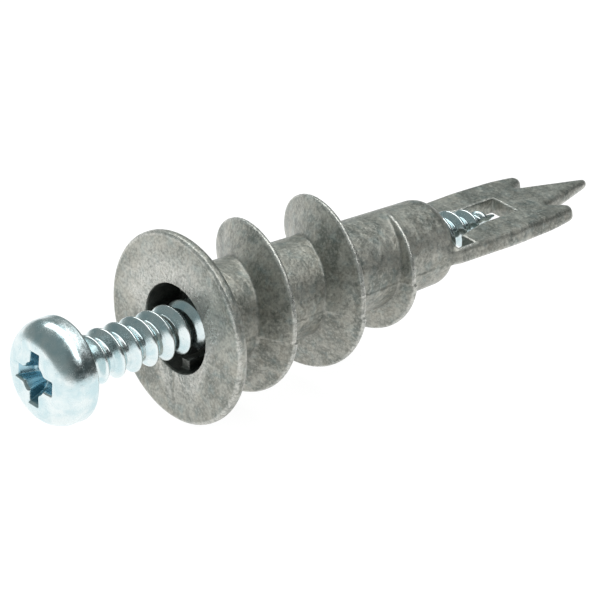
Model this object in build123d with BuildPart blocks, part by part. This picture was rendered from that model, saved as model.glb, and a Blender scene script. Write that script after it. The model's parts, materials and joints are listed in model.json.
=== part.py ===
from build123d import *
from math import atan, cos, degrees, radians, sin
import os

# Self-drilling plasterboard anchor: one zinc casting, with its pan-head screw driven part way in.
# Millimetres. The origin is the centre of the flange's back, which seats on the wall. +Y is the
# axis, pointing into the wall. The drill blade lies flat in the XY plane and +Z is its normal.

# --- driving dimensions: casting ---
FLANGE_R = 7.75
FLANGE_T = 1.0
FLANGE_EDGE = 0.25
FLANGE_BACK_EDGE = 0.4
CORE_R_FLANGE = 4.2
CORE_R_END = 3.45
CORE_END_Y = 25.2
CORE_NOSE = 1.4
ROOT_FILLET = 0.45
BORE_R = 2.3

# Driver recess: a round socket with four inward webs, set back from the flange's front.
RECESS_R = 3.65
RECESS_DEPTH = 3.4
WEB_TIP_R = 2.8
WEB_W = 0.9
WEB_SINK = 0.9
WEB_TURN = 5

# Coarse fin. Its crest runs nearly square to the axis on the +X side and catches up on the other.
# It is thicker at the die's parting plane, so that the two die halves can open along Z.
FIN_LEAD = 6.95
FIN_Y0 = 5.5
FIN_PAUSE = 0.7
FIN_CREST_R = 6.7
FIN_CREST_W = 0.35
FIN_FRONT_RUN = 1.55
FIN_BACK_RUN = 0.35
FIN_DRAFT = 0.45
FIN_DRAFT_POWER = 6
FIN_SINK = 0.9
FIN_BURY = 0.35
FIN_START = -178
FIN_FULL = -91
FIN_FADE = 545
FIN_END = 848
FIN_SECTION_STEP = 18

# Drill blade: a fishtail plate with a long centre tine and two outer spurs.
BLADE_T = 1.4
BLADE_BEVEL = 0.3
BLADE_ROOT_Y = 21.5
BLADE_ROOT_HALF_W = 2.9
SHOULDER_Y = 24.8
SHOULDER_HALF_W = 4.1
WIDEST_Y = 31.0
BLADE_HALF_W = 4.25
SPUR_SIDE_Y = 35.4
SPUR_SIDE_HALF_W = 4.0
SPUR_Y = 37.5
SPUR_HALF_W = 3.4
SPUR_CUT = 0.35
NOTCH_Y = 35.8
TINE_HALF_W = 2.0
TIP_Y = 42.1
TIP_HALF_W = 0.35
TIP_CUT = 0.25
THIN_START_Y = 34.5
TIP_T = 0.8
WINDOW_HALF_W = 1.4
WINDOW_END_Y = 33.0

# A pocket beside the core's end, in the top of one side of the blade and the bottom of the other.
POCKET_HALF_W = 3.5
POCKET_Y = 24.9
POCKET_L = 1.6
POCKET_FLOOR = 0.4

# --- driving dimensions: screw ---
THREAD_R = 2.1
SHANK_R = 1.5
THREAD_PITCH = 1.6
THREAD_TURNS = 22
THREAD_CREST_W = 0.2
THREAD_ROOT_W = 1.15
THREAD_SINK = 0.12
THREAD_START_ANGLE = 180
HEAD_SEAT_Y = -11.6
HEAD_R = 4.2
HEAD_H = 3.15
HEAD_SIDE_H = 1.25
HEAD_SHOULDER_IN = 0.5
HEAD_SHOULDER_RISE = 1.2
HEAD_EDGE = 0.15
HEAD_TOP_R = 2.3
NECK_R = 2.35
NECK_L = 0.7
POINT_Y = 31.9
POINT_L = 6.64
POINT_START_Y = POINT_Y - POINT_L
POINT_TIP_R = 0.08
POINT_TURNS = 3
CROSS_HALF_L = 2.25
CROSS_HALF_W = 0.58
CROSS_HUB_R = 1.35
CROSS_DEPTH = 2.0

# The screw stops this far short of the hollow's end, with this gap around its point.
TRAVEL_IN = 0.5
POINT_GAP = 0.15

# A point on the rounded shoulder between the head's side and its front.
HEAD_SHOULDER = (HEAD_R - HEAD_SHOULDER_IN, HEAD_SEAT_Y - HEAD_SIDE_H - HEAD_SHOULDER_RISE)

os.makedirs("parts", exist_ok=True)


def radial_plane(angle):
    """The half plane at this angle about the axis: local X is the radius, local Y the axis."""
    c = cos(radians(angle))
    s = sin(radians(angle))
    return Plane(origin=(0, 0, 0), x_dir=(c, 0, s), z_dir=(-s, 0, c))


def core_radius(y):
    """Radius of the casting's tapered core at a station on the axis."""
    return CORE_R_FLANGE + (CORE_R_END - CORE_R_FLANGE) * y / CORE_END_Y


def fin_station(angle):
    """Station of the fin's crest: a helix that nearly pauses once a turn, on the +X side."""
    return FIN_Y0 + FIN_LEAD * angle / 360 - FIN_PAUSE * sin(radians(angle))


def fin_crest_radius(angle):
    """Crest radius: it grows out of the core, holds, then fades back into the core."""
    base = core_radius(fin_station(angle)) - FIN_BURY
    rise = min(1, (angle - FIN_START) / (FIN_FULL - FIN_START))
    fall = min(1, (FIN_END - angle) / (FIN_END - FIN_FADE))
    return base + (FIN_CREST_R - base) * min(rise, fall)


def fin_section(angle):
    """One cross-section of the fin, wider at the parting plane for draft."""
    y = fin_station(angle)
    crest = fin_crest_radius(angle)
    root = core_radius(y) - FIN_SINK
    height = (crest - root) / (FIN_CREST_R - root)
    swell = FIN_DRAFT * abs(cos(radians(angle))) ** FIN_DRAFT_POWER
    front = (FIN_FRONT_RUN + swell) * height + FIN_CREST_W / 2
    back = (FIN_BACK_RUN + swell) * height + FIN_CREST_W / 2
    half = FIN_CREST_W / 2
    with BuildSketch(radial_plane(angle)) as section:
        with BuildLine():
            Polyline((root, y - front), (crest, y - half), (crest, y + half), (root, y + back), close=True)
        make_face()
    return section.sketch


def blade_outline(left_lean, right_lean, plane):
    """The blade's face, with each side's edge drawn in by its own amount."""
    half = [
        (BLADE_ROOT_HALF_W, BLADE_ROOT_Y),
        (SHOULDER_HALF_W, SHOULDER_Y),
        (BLADE_HALF_W, WIDEST_Y),
        (SPUR_SIDE_HALF_W, SPUR_SIDE_Y),
        (SPUR_HALF_W + SPUR_CUT, SPUR_Y - TIP_CUT),
        (SPUR_HALF_W - SPUR_CUT, SPUR_Y),
        (TINE_HALF_W, NOTCH_Y),
        (TIP_HALF_W, TIP_Y - TIP_CUT),
    ]
    right = [(x - right_lean * min(1, x / TINE_HALF_W), y) for x, y in half]
    left = [(left_lean * min(1, x / TINE_HALF_W) - x, y) for x, y in half]
    with BuildSketch(plane) as face:
        with BuildLine():
            Polyline(*right, (0, TIP_Y), *reversed(left), close=True)
        make_face()
    return face.sketch


# --- anchor body ---
with BuildPart() as anchor_body:
    # Flange and tapered core, turned about the axis.
    nose_y = CORE_END_Y - CORE_NOSE
    nose_r = core_radius(nose_y)
    with BuildSketch(Plane.XY):
        with BuildLine():
            Polyline((0, -FLANGE_T), (FLANGE_R - FLANGE_EDGE, -FLANGE_T))
            JernArc((FLANGE_R - FLANGE_EDGE, -FLANGE_T), (1, 0), FLANGE_EDGE, 90)
            Line((FLANGE_R, -FLANGE_T + FLANGE_EDGE), (FLANGE_R, -FLANGE_BACK_EDGE))
            JernArc((FLANGE_R, -FLANGE_BACK_EDGE), (0, 1), FLANGE_BACK_EDGE, 90)
            Line((FLANGE_R - FLANGE_BACK_EDGE, 0), (CORE_R_FLANGE + ROOT_FILLET, 0))
            JernArc((CORE_R_FLANGE + ROOT_FILLET, 0), (-1, 0), ROOT_FILLET, -90)
            Line((CORE_R_FLANGE, ROOT_FILLET), (nose_r, nose_y))
            CenterArc((nose_r - CORE_NOSE, nose_y), CORE_NOSE, 0, 90)
            Polyline((nose_r - CORE_NOSE, CORE_END_Y), (0, CORE_END_Y), (0, -FLANGE_T))
        make_face()
    revolve(axis=Axis.Y)
    # The fin, lofted through its radial sections.
    fin_angles = range(FIN_START, FIN_END + 1, FIN_SECTION_STEP)
    loft([fin_section(angle) for angle in fin_angles])
    # The blade, with a relief bevel on opposite faces of its two sides.
    loft(
        [
            blade_outline(BLADE_BEVEL, 0, Plane.XY.offset(-BLADE_T / 2)),
            blade_outline(0, BLADE_BEVEL, Plane.XY.offset(BLADE_T / 2)),
        ],
        ruled=True,
    )
    # The blade thins towards its tip, on both faces.
    with BuildSketch(Plane.YZ.offset(-BLADE_HALF_W)):
        with BuildLine():
            Polyline(
                (THIN_START_Y, BLADE_T / 2),
                (TIP_Y, TIP_T / 2),
                (TIP_Y, BLADE_T / 2),
                close=True,
            )
        make_face()
        mirror(about=Plane.XZ)
    extrude(amount=2 * BLADE_HALF_W, mode=Mode.SUBTRACT)
    # The bore, and the hollow that the screw's point takes up beyond it.
    with BuildSketch(Plane.XY):
        with BuildLine():
            Polyline(
                (0, 0),
                (BORE_R, 0),
                (BORE_R, POINT_START_Y + TRAVEL_IN),
                (POINT_TIP_R + THREAD_R - SHANK_R + POINT_GAP, POINT_Y + TRAVEL_IN),
                (0, POINT_Y + TRAVEL_IN),
                close=True,
            )
        make_face()
    revolve(axis=Axis.Y, mode=Mode.SUBTRACT)
    # The window through the blade.
    with BuildSketch(Plane.XY.offset(-BLADE_T)):
        with Locations((0, (CORE_END_Y + WINDOW_END_Y) / 2)):
            Rectangle(2 * WINDOW_HALF_W, WINDOW_END_Y - CORE_END_Y)
    extrude(amount=2 * BLADE_T, mode=Mode.SUBTRACT)
    # The two pockets, cut most of the way through the blade.
    for side in (1, -1):
        with BuildSketch(Plane.XY.offset(side * (POCKET_FLOOR - BLADE_T / 2))):
            with Locations((side * (WINDOW_HALF_W + POCKET_HALF_W) / 2, POCKET_Y + POCKET_L / 2)):
                Rectangle(POCKET_HALF_W - WINDOW_HALF_W, POCKET_L)
        extrude(amount=side * BLADE_T, mode=Mode.SUBTRACT)
    # The driver recess in the flange.
    flange_front = Plane(origin=(0, -FLANGE_T, 0), x_dir=(1, 0, 0), z_dir=(0, -1, 0))
    with BuildSketch(flange_front):
        Circle(RECESS_R)
    extrude(amount=-WEB_SINK, mode=Mode.SUBTRACT)
    with BuildSketch(flange_front):
        Circle(RECESS_R)
        with PolarLocations((RECESS_R + WEB_TIP_R) / 2, 4, start_angle=WEB_TURN):
            Rectangle(RECESS_R - WEB_TIP_R, WEB_W, mode=Mode.SUBTRACT)
    extrude(amount=-RECESS_DEPTH, mode=Mode.SUBTRACT)

anchor_body.part.label = "anchor_body"
export_step(anchor_body.part, "parts/anchor_body.step")

# --- screw ---
def thread_ridge(helix):
    """A ridge swept along a helix on the shank's surface, turned to the thread's starting angle."""
    start = helix @ 0
    outward = Vector(start.X, 0, start.Z).normalized()
    section_plane = Plane(origin=start, x_dir=outward, z_dir=outward.cross(Vector(0, 1, 0)))
    with BuildSketch(section_plane) as section:
        with BuildLine():
            Polyline(
                (-THREAD_SINK, -THREAD_ROOT_W / 2),
                (THREAD_R - SHANK_R, -THREAD_CREST_W / 2),
                (THREAD_R - SHANK_R, THREAD_CREST_W / 2),
                (-THREAD_SINK, THREAD_ROOT_W / 2),
                close=True,
            )
        make_face()
    ridge = sweep(section.sketch, path=helix, is_frenet=True, mode=Mode.PRIVATE)
    return Rot(0, THREAD_START_ANGLE, 0) * ridge


with BuildPart() as screw:
    # Pan head, neck, shank and point, turned about the axis.
    head_top_y = HEAD_SEAT_Y - HEAD_H
    head_side_y = HEAD_SEAT_Y - HEAD_SIDE_H
    with BuildSketch(Plane.XY):
        with BuildLine():
            Polyline((0, POINT_Y), (0, head_top_y), (HEAD_TOP_R, head_top_y))
            ThreePointArc((HEAD_TOP_R, head_top_y), HEAD_SHOULDER, (HEAD_R, head_side_y))
            Polyline(
                (HEAD_R, head_side_y),
                (HEAD_R, HEAD_SEAT_Y - HEAD_EDGE),
                (HEAD_R - HEAD_EDGE, HEAD_SEAT_Y),
                (NECK_R, HEAD_SEAT_Y),
                (SHANK_R, HEAD_SEAT_Y + NECK_L),
                (SHANK_R, POINT_START_Y),
                (POINT_TIP_R, POINT_Y),
                (0, POINT_Y),
            )
        make_face()
    revolve(axis=Axis.Y)
    # One turn of thread, repeated along the straight shank.
    one_turn = thread_ridge(
        Helix(THREAD_PITCH, THREAD_PITCH, SHANK_R, direction=(0, 1, 0), lefthand=True)
    )
    add([Pos(0, POINT_START_Y - k * THREAD_PITCH, 0) * one_turn for k in range(1, THREAD_TURNS + 1)])
    # The thread runs on down the point.
    point_angle = degrees(atan((SHANK_R - POINT_TIP_R) / POINT_L))
    point_helix = Helix(
        THREAD_PITCH,
        POINT_TURNS * THREAD_PITCH,
        SHANK_R,
        center=(0, POINT_START_Y, 0),
        direction=(0, 1, 0),
        cone_angle=-point_angle,
        lefthand=True,
    )
    add(thread_ridge(point_helix))
    # The cross recess in the head.
    head_front = Plane(origin=(0, head_top_y, 0), x_dir=(1, 0, 0), z_dir=(0, -1, 0))
    with BuildSketch(head_front):
        Rectangle(2 * CROSS_HALF_L, 2 * CROSS_HALF_W)
        Rectangle(2 * CROSS_HALF_W, 2 * CROSS_HALF_L)
        Circle(CROSS_HUB_R)
    with BuildSketch(head_front.offset(-CROSS_DEPTH)):
        Rectangle(CROSS_HALF_L, CROSS_HALF_W)
        Rectangle(CROSS_HALF_W, CROSS_HALF_L)
        Circle(CROSS_HUB_R / 2)
    loft(mode=Mode.SUBTRACT)

screw.part.label = "screw"
export_step(screw.part, "parts/screw.step")
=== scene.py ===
import json
from math import cos, pi, radians, sin

import bmesh
import bpy
import numpy as np
from mathutils import Matrix, Vector


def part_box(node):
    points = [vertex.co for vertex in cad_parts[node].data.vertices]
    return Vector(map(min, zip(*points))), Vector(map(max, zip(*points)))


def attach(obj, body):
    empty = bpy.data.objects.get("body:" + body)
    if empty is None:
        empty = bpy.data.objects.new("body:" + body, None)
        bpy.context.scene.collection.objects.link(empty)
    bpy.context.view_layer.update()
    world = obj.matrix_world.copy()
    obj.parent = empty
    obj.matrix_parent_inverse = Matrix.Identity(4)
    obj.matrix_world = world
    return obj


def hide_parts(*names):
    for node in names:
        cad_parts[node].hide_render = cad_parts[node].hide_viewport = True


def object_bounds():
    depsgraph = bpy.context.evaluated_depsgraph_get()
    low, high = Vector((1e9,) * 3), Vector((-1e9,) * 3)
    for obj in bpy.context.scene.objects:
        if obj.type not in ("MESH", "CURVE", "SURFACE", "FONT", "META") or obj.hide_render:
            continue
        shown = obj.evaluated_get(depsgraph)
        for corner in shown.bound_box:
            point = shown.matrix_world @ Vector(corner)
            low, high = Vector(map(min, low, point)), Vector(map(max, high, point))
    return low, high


# A self-drilling plasterboard anchor, one zinc die-casting, with its zinc-plated screw part way in.
# Shapes are worked out in millimetres in the CAD frame and made into meshes in metres. The origin is
# the centre of the flange's back, +Y is the axis and points into the wall, +Z is the blade's normal.
MM = 0.001

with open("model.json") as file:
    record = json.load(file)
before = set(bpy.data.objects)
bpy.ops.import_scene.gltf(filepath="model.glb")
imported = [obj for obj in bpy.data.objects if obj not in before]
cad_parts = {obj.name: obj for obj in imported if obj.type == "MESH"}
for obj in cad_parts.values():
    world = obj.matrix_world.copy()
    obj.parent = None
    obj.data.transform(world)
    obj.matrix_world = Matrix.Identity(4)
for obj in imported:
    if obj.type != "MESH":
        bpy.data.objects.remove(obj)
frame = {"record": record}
cad_low, cad_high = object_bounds()
mounts = {mount["name"]: Vector(mount["pos_m"]) / MM for mount in frame["record"]["mounts"]}
body_low, body_high = (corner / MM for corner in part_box("anchor_body"))
screw_low, screw_high = (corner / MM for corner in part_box("screw"))

# --- casting, millimetres ---
FLANGE_R = body_high.x
FLANGE_T = -mounts["fixture_seat"].y
FLANGE_EDGE = 0.3
FLANGE_BACK_EDGE = 0.5
CORE_R_FLANGE = 4.2
CORE_R_END = 3.45
CORE_END_Y = 25.2
CORE_NOSE = 1.4
ROOT_FILLET = 0.9
BORE_R = 2.3
RECESS_R = 3.65
RECESS_DEPTH = 3.4
WEB_TIP_R = 2.8
WEB_W = 0.9
WEB_SINK = 0.9
WEB_TURN = 5
SOCKET_EDGE = 0.15

FIN_TURNS = 3
FIN_LEAD = 6.95
FIN_Y0 = 5.5
FIN_PAUSE = 0.7
FIN_CREST_R = 6.7
FIN_CREST_W = 0.35
FIN_FRONT_RUN = 1.55
FIN_BACK_RUN = 0.35
FIN_DRAFT = 0.45
FIN_DRAFT_POWER = 6
FIN_SINK = 0.9
FIN_BURY = 0.35
FIN_LEAST_H = 0.05
FIN_START = -178
FIN_FULL = -91
FIN_FADE = 545
FIN_END = 848
FIN_EDGE = 0.12
FIN_FILLET = 0.16

BLADE_T = 1.4
BLADE_BEVEL = 0.3
BLADE_ROOT_Y = 21.5
BLADE_ROOT_HALF_W = 2.9
SHOULDER_Y = 24.8
SHOULDER_HALF_W = 4.1
WIDEST_Y = 31.0
BLADE_HALF_W = 4.25
SPUR_SIDE_Y = 35.4
SPUR_SIDE_HALF_W = 4.0
SPUR_Y = 37.5
SPUR_HALF_W = 3.4
SPUR_CUT = 0.35
NOTCH_Y = 35.8
TINE_HALF_W = 2.0
THIN_START_Y = 34.5
TIP_T = 0.8
TIP_Y = body_high.y
TIP_HALF_W = 0.35
TIP_CUT = 0.25
WINDOW_HALF_W = 1.4
WINDOW_END_Y = 33.0
POCKET_HALF_W = 3.5
POCKET_Y = 24.9
POCKET_L = 1.6
POCKET_FLOOR = 0.4
BLADE_EDGE = 0.5
BLADE_SOFTNESS = 0.16
BLADE_BLEND = 0.4

# --- screw, millimetres ---
THREAD_R = 2.1
SHANK_R = 1.5
THREAD_PITCH = 1.6
THREAD_CREST_W = 0.2
THREAD_ROOT_W = 1.15
THREAD_ROUND = 0.12
THREAD_START_Y = -10.9
THREAD_RUN_OUT = 1.5 * THREAD_PITCH
THREAD_PHASE = 0.5
THREAD_ROWS = 32
THREAD_AROUND = 120
SHANK_LAP = 0.5
HEAD_SEAT_Y = mounts["screw_head_seat"].y
HEAD_FRONT_Y = screw_low.y
HEAD_R = screw_high.x
HEAD_EDGE = 0.2
DOME_R = 1.75
CROWN_R = 30
NECK_R = 2.35
NECK_L = 0.7
POINT_Y = screw_high.y
POINT_L = 6.64
POINT_START_Y = POINT_Y - POINT_L
POINT_TIP_R = 0.08
CROSS_HALF_L = 2.25
CROSS_HALF_W = 0.58
CROSS_HUB_R = 1.35
CROSS_DEPTH = 2.0
CROSS_TAPER = 0.5
CROSS_FILLET = 0.15
CROSS_FLOOR_SLOPE = 0.35
CROSS_RIM = 0.2
TRAVEL_IN = 0.5
POINT_GAP = 0.15

# The corners that the bore, the window, the pockets and the driver socket leave in the casting.
CUT_EDGE = 0.14

# The mismatch between the die's two halves.
PARTING_Z = 0.55
PARTING_SOFT = 0.08
PARTING_STEP = 0.045
PARTING_SHIFT = 0.06

# --- meshes ---
CASTING_CELL = 0.08
HEAD_CELL = 0.06
WELD_M = 1e-7
MOST_FACES = 180000
# How far round a vertex its surroundings reach, and the share of that which marks a full edge.
CASTING_EDGE_REACH = 0.3
SCREW_EDGE_REACH = 0.2
EDGE_FULL = 0.25


# --- distance fields ---
def soft_max(a, b, blend):
    """The larger of two fields, with the crease between them rounded over this width."""
    h = np.maximum(blend - np.abs(a - b), 0)
    return np.maximum(a, b) + h * h / (4 * blend)


def soft_min(a, b, blend):
    """The smaller of two fields, with the crease between them filled over this width."""
    return -soft_max(-a, -b, blend)


def round_corner(a, b, radius):
    """The larger of two fields, with the corner between them turned to this radius."""
    a = a + radius
    b = b + radius
    return np.minimum(np.maximum(a, b), 0) + np.hypot(np.maximum(a, 0), np.maximum(b, 0)) - radius


def grid(low, high, cell):
    """Coordinates along each axis, from one corner to the other with two cells' margin."""
    return [np.arange(a - 2 * cell, b + 2.5 * cell, cell) for a, b in zip(low, high)]


def field_surface(field, axes):
    """Vertices and quads of a field's zero surface, with one vertex in each cell that it crosses."""
    inside = field < 0
    corners = [(i, j, k) for i in (0, 1) for j in (0, 1) for k in (0, 1)]
    cells = [n - 1 for n in field.shape]
    count = np.zeros(cells, np.int8)
    for i, j, k in corners:
        count += inside[i:i + cells[0], j:j + cells[1], k:k + cells[2]]
    crossed = (count > 0) & (count < 8)
    index = np.full(cells, -1, np.int64)
    index[crossed] = np.arange(crossed.sum())
    at = np.stack(np.nonzero(crossed), 1)
    values = {c: field[at[:, 0] + c[0], at[:, 1] + c[1], at[:, 2] + c[2]] for c in corners}
    total = np.zeros((len(at), 3))
    hits = np.zeros(len(at))
    for axis in range(3):
        for low in [c for c in corners if c[axis] == 0]:
            high = tuple(1 if d == axis else low[d] for d in range(3))
            a, b = values[low], values[high]
            cut = (a < 0) != (b < 0)
            share = np.where(cut, a / np.where(cut, a - b, 1), 0)
            point = np.tile(np.array(low, float), (len(at), 1))
            point[:, axis] = share
            total += point * cut[:, None]
            hits += cut
    local = at + total / hits[:, None]
    points = np.stack([np.interp(local[:, d], np.arange(len(axes[d])), axes[d]) for d in range(3)], 1)
    quads = []
    for axis in range(3):
        u, v = (axis + 1) % 3, (axis + 2) % 3
        ends = [slice(None)] * 3
        starts = [slice(None)] * 3
        ends[axis] = slice(1, None)
        starts[axis] = slice(None, -1)
        a, b = inside[tuple(starts)], inside[tuple(ends)]
        edge = np.stack(np.nonzero(a != b), 1)
        edge = edge[(edge[:, u] > 0) & (edge[:, v] > 0)]
        edge = edge[(edge[:, u] < field.shape[u] - 1) & (edge[:, v] < field.shape[v] - 1)]
        leaving = a[edge[:, 0], edge[:, 1], edge[:, 2]]
        ring = []
        for du, dv in ((0, 0), (-1, 0), (-1, -1), (0, -1)):
            cell = edge.copy()
            cell[:, u] += du
            cell[:, v] += dv
            ring.append(index[cell[:, 0], cell[:, 1], cell[:, 2]])
        ring = np.stack(ring, 1)
        quads.append(np.where(leaving[:, None], ring, ring[:, ::-1]))
    return points, np.concatenate(quads)


def make_piece(name, points, faces, body, material):
    """A smooth-shaded mesh object from millimetre points, riding on a CAD body in a material slot."""
    mesh = bpy.data.meshes.new(name)
    mesh.from_pydata((np.asarray(points) * MM).tolist(), [], [list(map(int, f)) for f in faces])
    mesh.validate()
    mesh.shade_smooth()
    mesh.materials.append(material)
    piece = bpy.data.objects.new(name, mesh)
    bpy.context.scene.collection.objects.link(piece)
    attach(piece, body)
    return piece


def apply_modifiers(piece):
    """Makes what the piece's modifiers give its own mesh."""
    bpy.context.view_layer.update()
    result = bpy.data.meshes.new_from_object(piece.evaluated_get(bpy.context.evaluated_depsgraph_get()))
    piece.modifiers.clear()
    piece.data = result


def thin_out(piece, most_faces):
    """Collapses the flatter parts of a dense mesh, down to this many triangles."""
    piece.data.calc_loop_triangles()
    thin = piece.modifiers.new("thin", "DECIMATE")
    thin.ratio = min(1, most_faces / len(piece.data.loop_triangles))
    thin.use_collapse_triangulate = True
    apply_modifiers(piece)


# --- casting ---
def core_radius(y):
    """Radius of the casting's tapered core at a station on the axis."""
    return CORE_R_FLANGE + (CORE_R_END - CORE_R_FLANGE) * y / CORE_END_Y


def fin_station(angle):
    """Station of the fin's crest: a helix that nearly pauses once a turn, on the +X side."""
    return FIN_Y0 + FIN_LEAD * angle / 360 - FIN_PAUSE * np.sin(np.radians(angle))


def fin_field(r, angle, y):
    """Distance outside the fin, for the turn of it that these angles are on."""
    crest_y = fin_station(angle)
    base = core_radius(crest_y) - FIN_BURY
    rise = (angle - FIN_START) / (FIN_FULL - FIN_START)
    fall = (FIN_END - angle) / (FIN_END - FIN_FADE)
    crest = base + (FIN_CREST_R - base) * np.clip(np.minimum(rise, fall), -1, 1)
    root = core_radius(crest_y) - FIN_SINK
    height = np.maximum(crest - root, FIN_LEAST_H)
    swell = FIN_DRAFT * np.abs(np.cos(np.radians(angle))) ** FIN_DRAFT_POWER
    front_run = (FIN_FRONT_RUN + swell) * height / (FIN_CREST_R - root)
    back_run = (FIN_BACK_RUN + swell) * height / (FIN_CREST_R - root)
    outward = r - crest
    along = y - crest_y
    front = (outward * front_run - (along + FIN_CREST_W / 2) * height) / np.hypot(front_run, height)
    back = (outward * back_run + (along - FIN_CREST_W / 2) * height) / np.hypot(back_run, height)
    return soft_max(soft_max(front, back, FIN_EDGE), outward, FIN_EDGE)


def outline_field(x, y, corners):
    """Signed distance to a closed outline of straight runs in the XY plane."""
    inside = np.zeros(np.broadcast(x, y).shape, bool)
    nearest = np.full(inside.shape, np.inf)
    for (ax, ay), (bx, by) in zip(corners, corners[1:] + corners[:1]):
        ex, ey = bx - ax, by - ay
        share = np.clip(((x - ax) * ex + (y - ay) * ey) / (ex * ex + ey * ey), 0, 1)
        nearest = np.minimum(nearest, np.hypot(x - ax - share * ex, y - ay - share * ey))
        spans = (ay > y) != (by > y)
        inside ^= spans & (x < ax + (y - ay) * ex / (ey if ey else 1))
    return np.where(inside, -nearest, nearest)


def blurred(field, axis, width):
    """A field averaged along one axis with a bell curve whose deviation is this many cells."""
    deviations = 3
    reach = int(deviations * width) + 1
    bell = np.exp(-0.5 * (np.arange(-reach, reach + 1) / width) ** 2)
    padded = np.pad(field, [(reach, reach) if d == axis else (0, 0) for d in range(2)], "edge")
    return np.apply_along_axis(np.convolve, axis, padded, bell / bell.sum(), "valid")


def blade_field(x, y, z):
    """Distance outside the drill blade, whose edges lean the opposite way on its two sides."""
    half = [
        (BLADE_ROOT_HALF_W, BLADE_ROOT_Y),
        (SHOULDER_HALF_W, SHOULDER_Y),
        (BLADE_HALF_W, WIDEST_Y),
        (SPUR_SIDE_HALF_W, SPUR_SIDE_Y),
        (SPUR_HALF_W + SPUR_CUT, SPUR_Y - TIP_CUT),
        (SPUR_HALF_W - SPUR_CUT, SPUR_Y),
        (TINE_HALF_W, NOTCH_Y),
        (TIP_HALF_W, TIP_Y - TIP_CUT),
    ]
    corners = half + [(0, TIP_Y)] + [(-a, b) for a, b in reversed(half)]
    fine_cell = CASTING_CELL / 2
    fine_x = np.arange(-FLANGE_R, FLANGE_R, fine_cell)
    flat = outline_field(fine_x[:, None], y[:, :, 0], corners)
    flat = blurred(blurred(flat, 0, BLADE_SOFTNESS / fine_cell), 1, BLADE_SOFTNESS / CASTING_CELL)
    # Each level of the blade is the outline with its two sides moved across by the bevel.
    lean = BLADE_BEVEL * np.clip(z / BLADE_T + 0.5, 0, 1)
    across = x[:, 0, 0]
    sides = np.empty(np.broadcast(x, y, z).shape, np.float32)
    for k in range(z.shape[2]):
        level_lean = lean[0, 0, k]
        shifted = np.where(across > 0, across + level_lean, across - BLADE_BEVEL + level_lean)
        place = np.interp(shifted, fine_x, np.arange(len(fine_x)))
        low = np.clip(place.astype(int), 0, len(fine_x) - 2)
        share = (place - low)[:, None]
        sides[:, :, k] = flat[low] * (1 - share) + flat[low + 1] * share
    thinner = np.clip((y - THIN_START_Y) / (TIP_Y - THIN_START_Y), 0, 1)
    half_t = (BLADE_T + (TIP_T - BLADE_T) * thinner) / 2
    return soft_max(sides, np.abs(z) - half_t, BLADE_EDGE)


def casting_field(x, y, z):
    """Distance outside the whole casting."""
    # The two halves of the die met a little out of line, at a parting line just below the middle of the
    # +X side and just above the middle of the other.
    upper = np.clip((z + PARTING_Z * np.sign(x)) / PARTING_SOFT, -1, 1)
    r = np.hypot(x, z) + PARTING_STEP * upper
    angle = np.degrees(np.arctan2(z, x))
    body = round_corner(r - core_radius(y), y - CORE_END_Y, CORE_NOSE)
    body = np.maximum(body, -FLANGE_T / 2 - y)
    for turn in range(FIN_TURNS):
        fin = fin_field(r, angle + 360 * turn, y + PARTING_SHIFT * upper)
        body = soft_min(body, fin, FIN_FILLET)
    body = soft_min(body, blade_field(x, y, z), BLADE_BLEND)
    r = np.hypot(x, z)
    flange = round_corner(round_corner(r - FLANGE_R, -FLANGE_T - y, FLANGE_EDGE), y, FLANGE_BACK_EDGE)
    body = soft_min(body, flange, ROOT_FILLET)
    # The bore, and the hollow that the screw's point takes up beyond it.
    end_r = POINT_TIP_R + THREAD_R - SHANK_R + POINT_GAP
    share = np.clip((y - POINT_START_Y - TRAVEL_IN) / POINT_L, 0, 1)
    bore = np.maximum(r - BORE_R - (end_r - BORE_R) * share, y - POINT_Y - TRAVEL_IN)
    # The window through the blade.
    window_y = (CORE_END_Y + WINDOW_END_Y) / 2
    window_half_l = (WINDOW_END_Y - CORE_END_Y) / 2
    window = np.maximum(np.abs(x) - WINDOW_HALF_W, np.abs(y - window_y) - window_half_l)
    window = np.maximum(window, np.abs(z) - BLADE_T)
    # The pockets beside the core's end, one in the top and one in the bottom.
    pocket = np.maximum(np.abs(x) - POCKET_HALF_W, np.abs(y - POCKET_Y - POCKET_L / 2) - POCKET_L / 2)
    pocket = np.maximum(pocket, POCKET_FLOOR - BLADE_T / 2 - z * np.sign(x))
    window = np.minimum(window, np.maximum(pocket, np.abs(z) - BLADE_T))
    # The driver recess, with four webs standing into it.
    web_angle = np.radians((angle - WEB_TURN + 45) % 90 - 45)
    web = np.maximum(np.abs(r * np.sin(web_angle)) - WEB_W / 2, WEB_TIP_R - r * np.cos(web_angle))
    web = np.maximum(web, -FLANGE_T + WEB_SINK - y)
    socket = soft_max(r - RECESS_R, -web, SOCKET_EDGE)
    recess = np.maximum(socket, y + FLANGE_T - RECESS_DEPTH)
    cut = np.minimum(np.minimum(bore, window), recess)
    return soft_max(body, -cut, CUT_EDGE)


def build_casting(material):
    """The casting, held within its CAD body's box."""
    axes = grid(body_low, body_high, CASTING_CELL)
    x, y, z = (a.astype(np.float32) for a in axes)
    field = casting_field(x[:, None, None], y[None, :, None], z[None, None, :])
    points, quads = field_surface(field, axes)
    points = np.clip(points, np.array(body_low), np.array(body_high))
    piece = make_piece("casting", points, quads, "anchor", material)
    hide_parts("anchor_body")
    return piece


# --- screw ---
def thread_height(phase):
    """Height of the thread's rolled ridge above the shank, by the distance along the axis from its crest."""
    run = (THREAD_ROOT_W - THREAD_CREST_W) / 2
    depth = THREAD_R - SHANK_R
    slope = depth * (THREAD_ROOT_W / 2 - np.abs(phase)) / run
    return soft_min(soft_max(slope, 0, THREAD_ROUND), depth, THREAD_ROUND)


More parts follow.
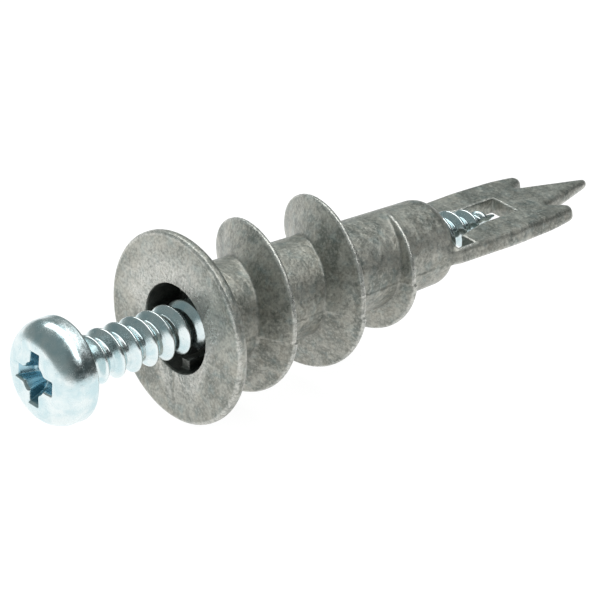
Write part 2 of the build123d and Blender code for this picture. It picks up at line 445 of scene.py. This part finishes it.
def shank_mesh():
    """The threaded shank and point, from inside the head, with each row of vertices following the helix."""
    step = THREAD_PITCH / THREAD_ROWS
    start = HEAD_SEAT_Y - SHANK_LAP
    turn = np.arange(THREAD_AROUND) / THREAD_AROUND
    first_row = int((start - POINT_START_Y) / step) - THREAD_ROWS
    last_row = int((POINT_L + THREAD_PITCH) / step) + 2
    rows = np.arange(first_row, last_row)
    y = POINT_START_Y + rows[:, None] * step - THREAD_PITCH * (turn[None, :] - THREAD_PHASE)
    y = np.clip(y, start, POINT_Y)
    phase = (rows * step + THREAD_PITCH / 2) % THREAD_PITCH - THREAD_PITCH / 2
    taper = np.clip((y - POINT_START_Y) / POINT_L, 0, 1)
    shank = SHANK_R + (POINT_TIP_R - SHANK_R) * taper
    neck = np.clip(NECK_R + (SHANK_R - NECK_R) * (y - HEAD_SEAT_Y) / NECK_L, 0, NECK_R)
    run_in = np.clip((y - THREAD_START_Y) / THREAD_PITCH, 0, 1)
    run_out = np.clip((POINT_Y - y) / THREAD_RUN_OUT, 0, 1)
    ridge = thread_height(phase)[:, None] * np.minimum(run_in, run_out)
    r = soft_max(neck, shank + ridge, THREAD_ROUND)
    r = np.where(y >= POINT_Y, 0, r)
    r = np.where(y <= start, 0, r)
    angle = 2 * pi * turn[None, :] + 0 * y
    points = np.stack([r * np.cos(angle), y, r * np.sin(angle)], 2).reshape(-1, 3)
    ids = np.arange(points.shape[0]).reshape(len(rows), THREAD_AROUND)
    here, beside = ids[:, :-1], ids[:, 1:]
    quads = [np.stack([here[:-1], here[1:], beside[1:], beside[:-1]], 2).reshape(-1, 4)]
    # Across the seam, a row carries on into the one a whole turn further along.
    last, first = ids[THREAD_ROWS:, -1], ids[:-THREAD_ROWS, 0]
    quads.append(np.stack([last[:-1], last[1:], first[1:], first[:-1]], 1))
    return points, np.concatenate(quads)


def head_field(x, y, z):
    """Distance outside the pan head, with its cross recess cut in."""
    r = np.hypot(x, z)
    dome = round_corner(r - HEAD_R, HEAD_FRONT_Y + r * r / (2 * CROWN_R) - y, DOME_R)
    head = soft_max(dome, y - HEAD_SEAT_Y, HEAD_EDGE)
    share = np.clip((y - HEAD_FRONT_Y) / CROSS_DEPTH, 0, 1)
    narrowing = 1 - CROSS_TAPER * share
    across, up = np.abs(x), np.abs(z)
    wing = np.maximum(across - CROSS_HALF_L * narrowing, up - CROSS_HALF_W * narrowing)
    other = np.maximum(up - CROSS_HALF_L * narrowing, across - CROSS_HALF_W * narrowing)
    cross = soft_min(soft_min(wing, other, CROSS_FILLET), r - CROSS_HUB_R * narrowing, CROSS_FILLET)
    floor_y = HEAD_FRONT_Y + CROSS_DEPTH - CROSS_FLOOR_SLOPE * r
    recess = soft_max(cross, y - floor_y, CROSS_FILLET)
    return soft_max(head, -recess, CROSS_RIM)


def build_screw(material):
    """The head and the shank, made apart and joined into one mesh."""
    axes = grid((-HEAD_R, HEAD_FRONT_Y, -HEAD_R), (HEAD_R, HEAD_SEAT_Y, HEAD_R), HEAD_CELL)
    x, y, z = axes
    field = head_field(x[:, None, None], y[None, :, None], z[None, None, :])
    points, quads = field_surface(field, axes)
    points[:, 1] = np.maximum(points[:, 1], HEAD_FRONT_Y)
    piece = make_piece("screw_plated", points, quads, "screw", material)
    points, quads = shank_mesh()
    shank = make_piece("shank", points, quads, "screw", material)
    for half in (piece, shank):
        work = bmesh.new()
        work.from_mesh(half.data)
        bmesh.ops.remove_doubles(work, verts=work.verts, dist=WELD_M)
        bmesh.ops.dissolve_degenerate(work, dist=WELD_M, edges=work.edges)
        bmesh.ops.recalc_face_normals(work, faces=work.faces)
        work.to_mesh(half.data)
        work.free()
    join = piece.modifiers.new("join", "BOOLEAN")
    join.operation = "UNION"
    join.solver = "MANIFOLD"
    join.object = shank
    apply_modifiers(piece)
    bpy.data.objects.remove(shank)
    piece.data.shade_smooth()
    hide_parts("screw")
    return piece


# --- materials ---
CLOUD_DARK, CLOUD_PALE = (0.20, 0.21, 0.188), (0.42, 0.42, 0.378)
WARM_TINT, COOL_TINT = (0.42, 0.39, 0.33), (0.25, 0.32, 0.32)
GRAIN_PALE, GRAIN_DARK = (0.62, 0.62, 0.55), (0.13, 0.14, 0.13)
# The worn colour is lighter wear with a painted glint; the corner and socket colours are painted shade.
WORN_GLINT_ZINC, CORNER_SHADE_ZINC, SOCKET_SHADE_ZINC = (0.74, 0.74, 0.7), (0.12, 0.12, 0.11), (0.05, 0.055, 0.05)

PLATE_BLUE, PLATE_PALE, PLATE_FINE = (0.58, 0.73, 0.76), (0.78, 0.85, 0.85), (0.55, 0.68, 0.72)
# The root and recess colours are painted shade, and the crest colour is a painted highlight.
ROOT_SHADE_PLATE, CREST_HIGHLIGHT_PLATE, RECESS_SHADE_PLATE = (0.22, 0.36, 0.40), (0.92, 0.95, 0.94), (0.28, 0.50, 0.60)

# How far past its wall and behind its rim a recess's painted shade starts.
SHADE_MARGIN = 0.1
SOCKET_SHADE_IN = 0.25
RECESS_SHADE_IN = 0.3
RECESS_SHADE_END_Y = HEAD_SEAT_Y - 0.5


class Nodes:
    """A material's nodes, added and wired by short calls, in the piece's own millimetres."""

    def __init__(self, name):
        self.material = bpy.data.materials.new(name)
        self.material.use_nodes = True
        self.tree = self.material.node_tree
        self.shader = self.tree.nodes["Principled BSDF"]
        place = self.add("ShaderNodeTexCoord")
        scale = self.add("ShaderNodeMapping")
        scale.inputs["Scale"].default_value = (1 / MM, 1 / MM, 1 / MM)
        self.tree.links.new(place.outputs["Object"], scale.inputs["Vector"])
        self.place = scale.outputs["Vector"]

    def add(self, kind, **settings):
        node = self.tree.nodes.new(kind)
        for key, value in settings.items():
            setattr(node, key, value)
        return node

    def set(self, socket, value):
        if isinstance(value, bpy.types.NodeSocket):
            self.tree.links.new(value, socket)
        else:
            socket.default_value = value

    def noise(self, per_mm, detail=3.0, roughness=0.55, distortion=0.0):
        """Noise from 0 to 1, with this many cells in a millimetre."""
        node = self.add("ShaderNodeTexNoise")
        self.set(node.inputs["Vector"], self.place)
        self.set(node.inputs["Scale"], per_mm)
        self.set(node.inputs["Detail"], detail)
        self.set(node.inputs["Roughness"], roughness)
        self.set(node.inputs["Distortion"], distortion)
        return node.outputs["Fac"]

    def math(self, operation, a, b=0.0, clamp=False):
        node = self.add("ShaderNodeMath", operation=operation, use_clamp=clamp)
        self.set(node.inputs[0], a)
        self.set(node.inputs[1], b)
        return node.outputs[0]

    def span(self, value, low, high, to_low=0.0, to_high=1.0):
        """A value's range spread over another range, and held at its ends."""
        node = self.add("ShaderNodeMapRange")
        for key, amount in (("Value", value), ("From Min", low), ("From Max", high),
                            ("To Min", to_low), ("To Max", to_high)):
            self.set(node.inputs[key], amount)
        return node.outputs["Result"]

    def mix(self, share, a, b):
        """Two colours mixed, by a share that may come from a node."""
        node = self.add("ShaderNodeMix", data_type="RGBA")
        self.set(node.inputs["Factor"], share)
        self.set(node.inputs["A"], a if isinstance(a, bpy.types.NodeSocket) else (*a, 1))
        self.set(node.inputs["B"], b if isinstance(b, bpy.types.NodeSocket) else (*b, 1))
        return node.outputs["Result"]

    def within(self, radius, start_y, end_y):
        """1 inside this radius of the axis and between these stations on it, and 0 elsewhere."""
        split = self.add("ShaderNodeSeparateXYZ")
        self.set(split.inputs["Vector"], self.place)
        across, along, up = split.outputs
        square = self.math("ADD", self.math("MULTIPLY", across, across), self.math("MULTIPLY", up, up))
        inside = self.math("LESS_THAN", square, radius * radius)
        after = self.math("GREATER_THAN", along, start_y)
        before = self.math("LESS_THAN", along, end_y)
        return self.math("MULTIPLY", inside, self.math("MULTIPLY", after, before))

    def attribute(self, name):
        node = self.add("ShaderNodeAttribute", attribute_name=name)
        return node.outputs["Fac"]

    def bump(self, height, distance_mm, strength=1.0, under=None):
        node = self.add("ShaderNodeBump")
        self.set(node.inputs["Height"], height)
        self.set(node.inputs["Distance"], distance_mm * MM)
        self.set(node.inputs["Strength"], strength)
        if under is not None:
            self.set(node.inputs["Normal"], under)
        return node.outputs["Normal"]


def cast_zinc():
    """Dull die-cast zinc: cloudy grey, finely grained, lighter on rubbed edges with a painted glint there,
    and with painted shade in corners and in the driver socket.
    """
    m = Nodes("cast_zinc")
    cloud = m.noise(0.45, detail=4, roughness=0.6, distortion=0.8)
    tone = m.mix(m.span(cloud, 0.38, 0.62), CLOUD_DARK, CLOUD_PALE)
    warm = m.noise(0.9, detail=3, roughness=0.5)
    tone = m.mix(m.span(warm, 0.45, 0.75, 0.0, 0.45), tone, WARM_TINT)
    cool = m.noise(1.3, detail=2, roughness=0.5, distortion=0.4)
    tone = m.mix(m.span(cool, 0.5, 0.75, 0.0, 0.45), tone, COOL_TINT)
    grain = m.noise(4.0, detail=5, roughness=0.7)
    tone = m.mix(m.span(grain, 0.5, 0.66, 0.0, 0.5), tone, GRAIN_PALE)
    tone = m.mix(m.span(grain, 0.5, 0.34, 0.0, 0.5), tone, GRAIN_DARK)
    edge = m.attribute("edge")
    # Rubbed edges: lighter worn zinc, which also stands in for a painted glint along the fins' crests.
    wear_and_glint = m.math("MULTIPLY", m.span(edge, 0.35, 0.8), m.span(grain, 0.4, 0.55, 0.3, 1.0))
    tone = m.mix(m.math("MULTIPLY", wear_and_glint, 0.5), tone, WORN_GLINT_ZINC)
    # Painted shade in the concave corners and creases.
    tone = m.mix(m.span(edge, -0.2, -0.7, 0.0, 0.35), tone, CORNER_SHADE_ZINC)
    # Painted shade in the driver socket of the flange.
    socket = m.within(RECESS_R + SHADE_MARGIN, SOCKET_SHADE_IN - FLANGE_T, CORE_END_Y / 2)
    tone = m.mix(m.math("MULTIPLY", socket, 0.7), tone, SOCKET_SHADE_ZINC)
    m.set(m.shader.inputs["Base Color"], tone)
    m.set(m.shader.inputs["Metallic"], 0.78)
    rough = m.span(m.noise(1.7, detail=3, roughness=0.6), 0.3, 0.7, 0.33, 0.48)
    m.set(m.shader.inputs["Roughness"], m.math("SUBTRACT", rough, m.math("MULTIPLY", wear_and_glint, 0.14)))
    skin = m.bump(m.noise(0.8, detail=2, roughness=0.5), 0.12)
    skin = m.bump(grain, 0.04, under=skin)
    skin = m.bump(m.noise(14, detail=2, roughness=0.6), 0.006, under=skin)
    m.set(m.shader.inputs["Normal"], skin)
    return m.material


def zinc_plate():
    """Bright bluish zinc plating over rolled steel, with faint clouding, painted highlights on the crests,
    and painted shade in the thread roots and the cross recess.
    """
    m = Nodes("zinc_plate")
    cloud = m.noise(0.8, detail=3, roughness=0.55, distortion=0.5)
    tone = m.mix(m.span(cloud, 0.35, 0.65), PLATE_BLUE, PLATE_PALE)
    fine = m.noise(7, detail=3, roughness=0.6)
    tone = m.mix(m.span(fine, 0.55, 0.75, 0.0, 0.3), tone, PLATE_FINE)
    edge = m.attribute("edge")
    # Painted shade in the thread roots.
    tone = m.mix(m.span(edge, -0.15, -0.8, 0.0, 0.55), tone, ROOT_SHADE_PLATE)
    # Painted highlight on the thread crests and the head's convex edges.
    tone = m.mix(m.span(edge, 0.2, 0.8, 0.0, 0.5), tone, CREST_HIGHLIGHT_PLATE)
    # Painted shade in the head's cross recess.
    recess = m.within(CROSS_HALF_L + SHADE_MARGIN, HEAD_FRONT_Y + RECESS_SHADE_IN, RECESS_SHADE_END_Y)
    tone = m.mix(m.math("MULTIPLY", recess, 0.75), tone, RECESS_SHADE_PLATE)
    m.set(m.shader.inputs["Base Color"], tone)
    m.set(m.shader.inputs["Metallic"], 1.0)
    rough = m.span(m.noise(2.2, detail=3, roughness=0.6), 0.3, 0.7, 0.17, 0.3)
    m.set(m.shader.inputs["Roughness"], rough)
    skin = m.bump(m.noise(1.6, detail=2, roughness=0.5), 0.012)
    m.set(m.shader.inputs["Normal"], m.bump(fine, 0.004, under=skin))
    return m.material


def mark_edges(piece, reach_mm):
    """Stores how far each vertex stands out of its surroundings, from -1 in a corner to 1 on an edge."""
    mesh = piece.data
    co = np.zeros(len(mesh.vertices) * 3)
    mesh.vertices.foreach_get("co", co)
    co = co.reshape(-1, 3) / MM
    normal = np.zeros(len(mesh.vertices) * 3)
    mesh.vertices.foreach_get("normal", normal)
    normal = normal.reshape(-1, 3)
    ends = np.zeros(len(mesh.edges) * 2, np.int64)
    mesh.edges.foreach_get("vertices", ends)
    a, b = ends.reshape(-1, 2).T
    length = np.linalg.norm(co[a] - co[b], axis=1).mean()
    degree = np.maximum(np.bincount(a, minlength=len(co)) + np.bincount(b, minlength=len(co)), 1)
    smooth = co.copy()
    rounds = max(2, int((reach_mm / length) ** 2))
    for _ in range(rounds):
        total = np.empty_like(smooth)
        for d in range(3):
            total[:, d] = np.bincount(a, smooth[b, d], len(co)) + np.bincount(b, smooth[a, d], len(co))
        smooth = total / degree[:, None]
    stand = ((co - smooth) * normal).sum(1) / (EDGE_FULL * reach_mm)
    mark = mesh.attributes.new("edge", "FLOAT", "POINT")
    mark.data.foreach_set("value", np.clip(stand, -1, 1).astype(np.float32))


# --- floor, light and camera, metres ---
FLOOR_HALF = 1.5
FLOOR_GREY = 0.16
FLOOR_GLOW = 0.94

HORIZON_HEIGHT, HORIZON_COLOUR = 0.02, (0.42, 0.46, 0.46, 1)
CEILING_HEIGHT, CEILING_COLOUR = 0.22, (0.22, 0.26, 0.26, 1)
UNLIT_DIRECTION = (0.82, 0.57, 0)
UNLIT_FULL = 0.75
UNLIT_STRENGTH = 0.2

# The camera, by its direction from the object, its roll, and how far off its axis the origin sits.
VIEW_AZIMUTH = 48.78
VIEW_ELEVATION = 27.09
VIEW_ROLL = 2.08
VIEW_DISTANCE_MM = 400
VIEW_ASIDE_MM = 8.79
VIEW_DOWN_MM = 1.93
VIEW_LENS = 313.65
SENSOR_W = 36
CLIP_START = 0.01
CLIP_END = 10


def build_floor():
    """A pale floor under the part, which glows so that it meets the background without an edge."""
    z = cad_low.z
    corners = [(-FLOOR_HALF, -FLOOR_HALF, z), (FLOOR_HALF, -FLOOR_HALF, z),
               (FLOOR_HALF, FLOOR_HALF, z), (-FLOOR_HALF, FLOOR_HALF, z)]
    mesh = bpy.data.meshes.new("floor")
    mesh.from_pydata(corners, [], [(0, 1, 2, 3)])
    floor = bpy.data.objects.new("floor", mesh)
    bpy.context.scene.collection.objects.link(floor)
    paint = bpy.data.materials.new("pale_floor")
    paint.use_nodes = True
    shader = paint.node_tree.nodes["Principled BSDF"]
    shader.inputs["Base Color"].default_value = (FLOOR_GREY, FLOOR_GREY, FLOOR_GREY, 1)
    shader.inputs["Roughness"].default_value = 0.9
    shader.inputs["Specular IOR Level"].default_value = 0.0
    shader.inputs["Emission Color"].default_value = (1, 1, 1, 1)
    shader.inputs["Emission Strength"].default_value = FLOOR_GLOW
    mesh.materials.append(paint)


def build_studio():
    """A world that is pale at the horizon, dim above it so that bright metal has something dark to
    show, and unlit at the far right."""
    world = bpy.data.worlds.new("studio")
    world.use_nodes = True
    bpy.context.scene.world = world
    nodes, links = world.node_tree.nodes, world.node_tree.links
    direction = nodes.new("ShaderNodeTexCoord")
    height = nodes.new("ShaderNodeSeparateXYZ")
    links.new(direction.outputs["Generated"], height.inputs["Vector"])
    sky = nodes.new("ShaderNodeValToRGB")
    horizon, ceiling = sky.color_ramp.elements
    horizon.position, horizon.color = HORIZON_HEIGHT, HORIZON_COLOUR
    ceiling.position, ceiling.color = CEILING_HEIGHT, CEILING_COLOUR
    links.new(height.outputs["Z"], sky.inputs["Fac"])
    side = nodes.new("ShaderNodeVectorMath")
    side.operation = "DOT_PRODUCT"
    side.inputs[1].default_value = UNLIT_DIRECTION
    links.new(direction.outputs["Generated"], side.inputs[0])
    unlit = nodes.new("ShaderNodeMapRange")
    for key, amount in (("From Min", 0.0), ("From Max", UNLIT_FULL),
                        ("To Min", 1.0), ("To Max", UNLIT_STRENGTH)):
        unlit.inputs[key].default_value = amount
    links.new(side.outputs["Value"], unlit.inputs["Value"])
    links.new(unlit.outputs["Result"], nodes["Background"].inputs["Strength"])
    links.new(sky.outputs["Color"], nodes["Background"].inputs["Color"])


def facing(azimuth, elevation):
    """Right, up and back for something that looks at the object from this direction, held level."""
    a = radians(azimuth)
    e = radians(elevation)
    back = Vector((sin(a) * cos(e), -cos(a) * cos(e), sin(e)))
    level = Vector((cos(a), sin(a), 0))
    return level, back.cross(level), back


def softbox(name, azimuth, elevation, distance, wide, deep, radiance):
    """An area light at this direction from the object, facing it, with its long side level."""
    level, rise, back = facing(azimuth, elevation)
    light = bpy.data.lights.new(name, "AREA")
    light.shape = "RECTANGLE"
    light.size = wide
    light.size_y = deep
    light.energy = pi * wide * deep * radiance
    lamp = bpy.data.objects.new(name, light)
    lamp.location = (cad_low + cad_high) / 2 + back * distance
    lamp.rotation_mode = "QUATERNION"
    lamp.rotation_quaternion = Matrix((level, rise, back)).transposed().to_quaternion()
    bpy.context.scene.collection.objects.link(lamp)
    return lamp


def build_camera():
    """The photograph's camera: a long lens, rolled a little."""
    level, rise, back = facing(VIEW_AZIMUTH, VIEW_ELEVATION)
    roll = radians(VIEW_ROLL)
    right = level * cos(roll) + rise * sin(roll)
    upward = rise * cos(roll) - level * sin(roll)
    data = bpy.data.cameras.new("camera")
    data.lens = VIEW_LENS
    data.sensor_width = SENSOR_W
    data.clip_start = CLIP_START
    data.clip_end = CLIP_END
    camera = bpy.data.objects.new("camera", data)
    turn = Matrix((right, upward, back)).transposed().to_4x4()
    place = back * VIEW_DISTANCE_MM + right * VIEW_ASIDE_MM + upward * VIEW_DOWN_MM
    camera.matrix_world = Matrix.Translation(place * MM) @ turn
    bpy.context.scene.collection.objects.link(camera)
    bpy.context.scene.camera = camera


casting = build_casting(cast_zinc())
screw = build_screw(zinc_plate())
for piece, reach_mm in ((casting, CASTING_EDGE_REACH), (screw, SCREW_EDGE_REACH)):
    mark_edges(piece, reach_mm)
    thin_out(piece, MOST_FACES)

build_floor()
build_studio()
softbox("overhead", azimuth=180, elevation=76, distance=0.28, wide=0.7, deep=0.15, radiance=2.6)
front = softbox("front", azimuth=-25, elevation=30, distance=0.3, wide=0.4, deep=0.3, radiance=2.6)
front.visible_glossy = False
build_camera()
bpy.context.scene.view_settings.view_transform = "Standard"
